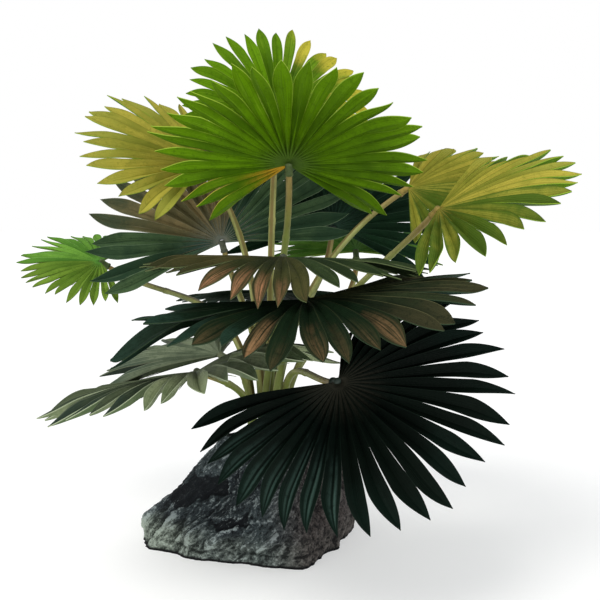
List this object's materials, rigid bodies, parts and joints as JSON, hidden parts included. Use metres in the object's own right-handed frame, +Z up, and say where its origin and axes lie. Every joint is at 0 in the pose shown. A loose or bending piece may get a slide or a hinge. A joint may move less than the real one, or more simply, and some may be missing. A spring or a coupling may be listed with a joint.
{
  "type": "artificial fan palm",
  "caption": "Small artificial fan palm: pleated fan leaves on curved stems that stand in a craggy rock base.",
  "frame": {"origin": "on the flat underside of the rock base, near its middle", "axes": "+Z up through the stems, -Y towards the front that the picture shows, +X to its right"},
  "size_m": [0.3321, 0.3419, 0.31],
  "materials": {
    "rock": "rough cast rock, dark blue-grey with pale scratches and a mossy foot",
    "crown": "matt moulded",
    "stem": "satin moulded",
    "leaf_vivid": "pressed pleated leaf with a satin sheen",
    "leaf_golden": "pressed pleated leaf with a satin sheen",
    "leaf_bronze": "pressed pleated leaf with a satin sheen",
    "leaf_grey": "pressed pleated leaf with a satin sheen",
    "leaf_dark": "pressed pleated leaf with a satin sheen"
  },
  "bodies": {
    "root": {"rock_base": "rock", "stem_crown": "crown", "blade_top_front": "leaf_vivid", "stem_top_front": "stem", "blade_top_back": "leaf_vivid", "stem_top_back": "stem", "blade_upper_left": "leaf_golden", "stem_upper_left": "stem", "blade_middle_left": "leaf_bronze", "stem_middle_left": "stem", "blade_far_left": "leaf_vivid", "stem_far_left": "stem", "blade_right_front": "leaf_golden", "stem_right_front": "stem", "blade_right_back": "leaf_golden", "stem_right_back": "stem", "blade_front_upper": "leaf_bronze", "stem_front_upper": "stem", "blade_front_middle": "leaf_dark", "stem_front_middle": "stem", "blade_lower_left_back": "leaf_grey", "stem_lower_left_back": "stem", "blade_lower_left_front": "leaf_grey", "stem_lower_left_front": "stem", "blade_lower_right": "leaf_dark", "stem_lower_right": "stem", "blade_back_right": "leaf_dark", "stem_back_right": "stem", "blade_rear_right": "leaf_vivid", "stem_rear_right": "stem", "blade_rear": "leaf_bronze", "stem_rear": "stem"}
  },
  "joints": []
}
